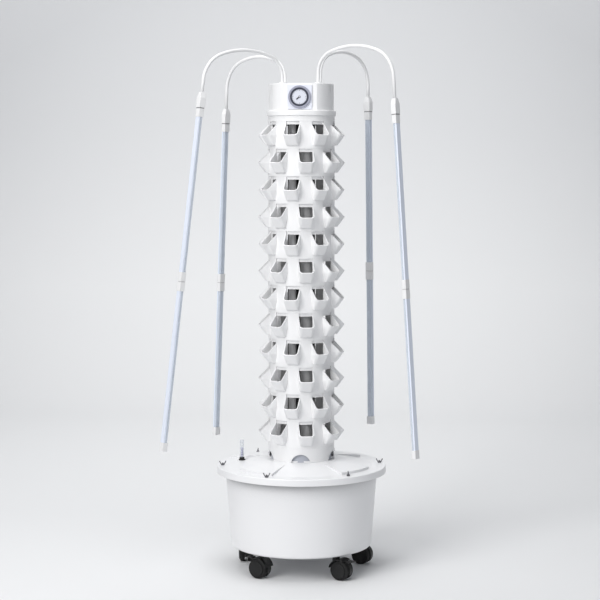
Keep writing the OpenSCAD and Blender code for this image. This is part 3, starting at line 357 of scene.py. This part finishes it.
def arm_shape(arm):
    """Radius of the bow, length of the straight tail and of the first rise, from reach, height and drop."""
    lean = math.radians(arm["lean"])
    across = arm["reach"] - R_FIRST * (1 - math.cos(BEND_FIRST)) - R_LAST * (math.cos(BEND_SUM) + math.cos(lean))
    down = -arm["drop"] - arm["apex"] - R_LAST * (math.sin(lean) - math.sin(BEND_SUM))
    bx, bz = math.cos(BEND_FIRST) - math.cos(BEND_SUM), math.sin(BEND_SUM) - 1
    det = -bx * math.cos(lean) - math.sin(lean) * bz
    bow = (-across * math.cos(lean) - math.sin(lean) * down) / det
    tail = (bx * down - bz * across) / det
    rise = arm["apex"] - R_FIRST * math.sin(BEND_FIRST) - bow * (1 - math.sin(BEND_FIRST))
    return bow, tail, rise, lean


def arm_path(arm):
    """Points (along, up) of the neck's centre line, those where its last bend starts and ends, the socket, the lean."""
    bow, tail, rise, lean = arm_shape(arm)
    first, last = math.pi - BEND_FIRST, math.pi - BEND_SUM
    pts = [(0.0, -NECK_FOOT), (0.0, rise * 0.5)]

    def step(p, r, a):
        return (p[0] + r * math.cos(a), p[1] + r * math.sin(a))

    def arc(centre, r, a0, a1, n):
        pts.extend(step(centre, r, a0 + (a1 - a0) * k / n) for k in range(n + 1))

    def down_tail(length):
        return (end[0] + length * math.sin(lean), end[1] - length * math.cos(lean))

    c1 = (R_FIRST, rise)
    c2 = step(c1, R_FIRST - bow, first)
    c3 = step(c2, bow - R_LAST, last)
    arc(c1, R_FIRST, math.pi, first, 22)
    pts.pop()
    arc(c2, bow, first, last, 26)
    start = pts.pop()
    arc(c3, R_LAST, last, lean, 24)
    end = pts[-1]
    pts.append(down_tail(tail + NECK_IN))
    return pts, start, end, down_tail(tail), lean


for k, arm in ARMS.items():
    d = polar(arm["az"], 1.0)
    origin = Vector((arm["bush"][0] * BUSH, arm["bush"][1] * BUSH, CAP_TOP))
    pts, start, end, socket, lean = arm_path(arm)

    def place(p):
        return origin + d * p[0] + UP * p[1]

    bm = bmesh.new()
    add_tube(bm, [place(p) for p in pts], NECK_R, d.cross(UP).normalized())
    neck = mesh_object("neck_%d" % k, bm, MATERIALS["neck_white"], True)
    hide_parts("light_%d_gooseneck" % k)
    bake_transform(neck)

    # The light's own axes: away from the tower, across, and down along the tubes
    out = (d * math.cos(lean) + UP * math.sin(lean)).normalized()
    along = (d * math.sin(lean) - UP * math.cos(lean)).normalized()
    turn = Matrix((out, UP.cross(d).normalized(), along)).transposed()
    top = place(socket)
    strip, chips, seams, groove = (bmesh.new() for _ in range(4))
    for z0, half in STRIP_SPANS:
        middle = top + out * STRIP_OUT + along * (z0 + half)
        add_slab(strip, middle, (STRIP_THICK, STRIP_WIDE, half - STRIP_SHORT), turn)
        for n in range(int((2 * half - CHIP_MARGIN) / CHIP_STEP)):
            add_slab(chips, top - out * CHIP_IN + along * (z0 + CHIP_MARGIN + n * CHIP_STEP), CHIP_HALF, turn)
    # Painted shadow in the seam under the socket and in the link's groove
    add_slab(seams, top + along * SEAM_AT, SEAM_HALF, turn)
    add_slab(groove, top + along * GROOVE_AT, GROOVE_HALF, turn)
    for name, bm, mat, slot in (("strip", strip, "light_strip", "light_back"),
                                ("chips", chips, "light_chip", "light_back"),
                                ("seams", seams, "seam_shadow_grey", "fitting_white"),
                                ("groove", groove, "groove_shadow_grey", "fitting_white")):
        ob = mesh_object("%s_%d" % (name, k), bm, MATERIALS[mat])
        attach(ob, "lamp_%d" % k)


# Marks on the timer's dial: half width and half length of the short and the long ones, and the circle they end at

MARKS, LONG_EVERY = 24, 6
SHORT_MARK, LONG_MARK = (0.0003, 0.0011), (0.0005, 0.0018)
MARK_R, MARK_PROUD, MARK_THICK = 0.0222, 0.00006, 0.00005

bm = bmesh.new()
for n in range(MARKS):
    width, half = SHORT_MARK if n % LONG_EVERY else LONG_MARK
    turn = Matrix.Rotation(2 * math.pi * n / MARKS, 3, "Y")
    add_slab(bm, Vector(DIAL) + turn @ Vector((0, -MARK_PROUD, MARK_R - half)), (width, MARK_THICK, half), turn)
marks = mesh_object("dial_marks", bm, MATERIALS["black_plastic"])
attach(marks, "stand")


# Coloured marks on the gauge's rod

GAUGE_AZ, GAUGE_R = -95.6, 0.201
BAND_R, BAND_HALF, BAND_ZS = 0.00212, 0.002, (0.372, 0.380, 0.388)

bm = bmesh.new()
for z in BAND_ZS:
    ends = [polar(GAUGE_AZ, GAUGE_R, z + dz) for dz in (-BAND_HALF, BAND_HALF)]
    join_rings(bm, [add_ring(bm, p, BAND_R, RING_X, RING_Y, 24) for p in ends])
bands = mesh_object("gauge_bands", bm, MATERIALS["gauge_band"], True)
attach(bands, "float")


# Studio

COVE_WIDE, COVE_FOOT, COVE_BEND, COVE_TOP = 9.0, 3.2, 1.6, 8.0
# Floor colours that wander at random, the painted light far back, and the painted shade high up and to the sides
GROUND, GROUND_DIM = (0.79, 0.795, 0.805), (0.78, 0.785, 0.795)
FAR_BACK_LIGHT, OUTER_SHADE = (0.87, 0.873, 0.88), (0.645, 0.65, 0.665)
# Where the painted light and shade start to change and over what length, backwards and upwards
BACK_START, BACK_RUN, HIGH_START, HIGH_RUN = 0.8, 2.2, 0.6, 2.0
# Distance of the brightest place left of the tower, a painted pool of light, and the painted shade that grows with the
# square of the distance from it
BRIGHT_LEFT, SIDE_SHADE_GAIN = 0.3, 0.09


def cove_paint_with_painted_light():
    """Pale backdrop with painted light and shade: lighter further back, darker with height and to the sides, and clear
    when seen from its back.
    """
    s = Shader("cove_paint_with_painted_light", rough=0.85)
    geo = s.geometry()
    x, y, z = s.axes(geo["Position"])
    # Painted light: lighter further back
    back = s.math("DIVIDE", s.math("SUBTRACT", y, BACK_START), BACK_RUN, clamp=True)
    ground = s.mix(s.cloud(0.8), rgb(GROUND), rgb(GROUND_DIM))
    paint_and_back_light = s.mix(back, ground, rgb(FAR_BACK_LIGHT))
    # Painted shade: darker with height and away from the brightest place left of the tower
    high = s.math("DIVIDE", s.math("SUBTRACT", z, HIGH_START), HIGH_RUN, clamp=True)
    off = s.math("ABSOLUTE", s.math("ADD", x, BRIGHT_LEFT))
    side = s.math("MULTIPLY", s.math("POWER", off, 2.0), SIDE_SHADE_GAIN)
    s.give("Base Color", s.mix(s.math("ADD", high, side, clamp=True), paint_and_back_light, rgb(OUTER_SHADE)))
    one_sided = s.nodes.new("ShaderNodeMixShader")
    clear = s.nodes.new("ShaderNodeBsdfTransparent")
    for socket, value in zip(one_sided.inputs, (geo["Backfacing"], s.main.outputs[0], clear.outputs[0])):
        s.feed(socket, value)
    s.feed(s.out.inputs[0], one_sided.outputs[0])
    return s.material


def cove():
    """Floor that runs back and turns up into a wall."""
    bm = bmesh.new()
    wall = COVE_FOOT + COVE_BEND
    prof = [(-COVE_WIDE, 0.0), (COVE_FOOT, 0.0)]
    prof += [(COVE_FOOT + COVE_BEND * math.sin(a), COVE_BEND - COVE_BEND * math.cos(a))
             for a in (math.radians(6 * i) for i in range(1, 15))]
    prof += [(wall, COVE_BEND), (wall, COVE_TOP)]
    rows = [[bm.verts.new((x, y, z)) for x in (-COVE_WIDE, COVE_WIDE)] for y, z in prof]
    for r0, r1 in zip(rows, rows[1:]):
        bm.faces.new((r0[0], r0[1], r1[1], r1[0]))
    return mesh_object("cove", bm, cove_paint_with_painted_light(), True)


floor = cove()


def area_light(name, at, target, size, power, color):
    data = bpy.data.lights.new(name, "AREA")
    data.shape = "RECTANGLE"
    data.size, data.size_y = size
    data.energy = power
    data.color = color
    ob = bpy.data.objects.new(name, data)
    ob.location = at
    ob.rotation_euler = (Vector(target) - Vector(at)).to_track_quat("-Z", "Y").to_euler()
    bpy.context.scene.collection.objects.link(ob)


area_light("key", (-2.8, -4.2, 3.5), (0, 0, 0.8), (3.0, 3.0), 204, (1.0, 0.995, 0.985))
area_light("fill", (3.6, -3.6, 2.2), (0, 0, 0.8), (2.6, 2.6), 36, (0.96, 0.98, 1.0))
area_light("top", (-0.3, -1.2, 4.6), (0, 0.1, 0.0), (2.6, 2.6), 90, (1.0, 1.0, 1.0))
area_light("wash", (-0.4, 1.6, 4.4), (-0.6, 4.6, 0.5), (5.0, 1.0), 90, (0.99, 1.0, 1.0))

world = bpy.data.worlds.new("studio")
bpy.context.scene.world = world
world.use_nodes = True
bg = world.node_tree.nodes["Background"]
bg.inputs["Color"].default_value = (0.92, 0.95, 1.0, 1.0)
bg.inputs["Strength"].default_value = 0.16


# Camera, from the fit to the photograph: angle round the tower, distance, height, tilt down and turn off the axis

CAM_AZ, CAM_R, CAM_Z, CAM_TILT, CAM_TURN = 3.75, 5.359, 1.333, 4.696, 0.049

cam = bpy.data.cameras.new("camera")
cam.sensor_width = 36.0
cam.lens = 97.95
cam.clip_end = 60.0
view = bpy.data.objects.new("camera", cam)
view.location = polar(CAM_AZ, CAM_R, CAM_Z)
view.rotation_euler = (math.radians(90 - CAM_TILT), 0.0, math.radians(CAM_AZ + CAM_TURN))
bpy.context.scene.collection.objects.link(view)
bpy.context.scene.camera = view

settings = bpy.context.scene.view_settings
settings.view_transform = "Standard"
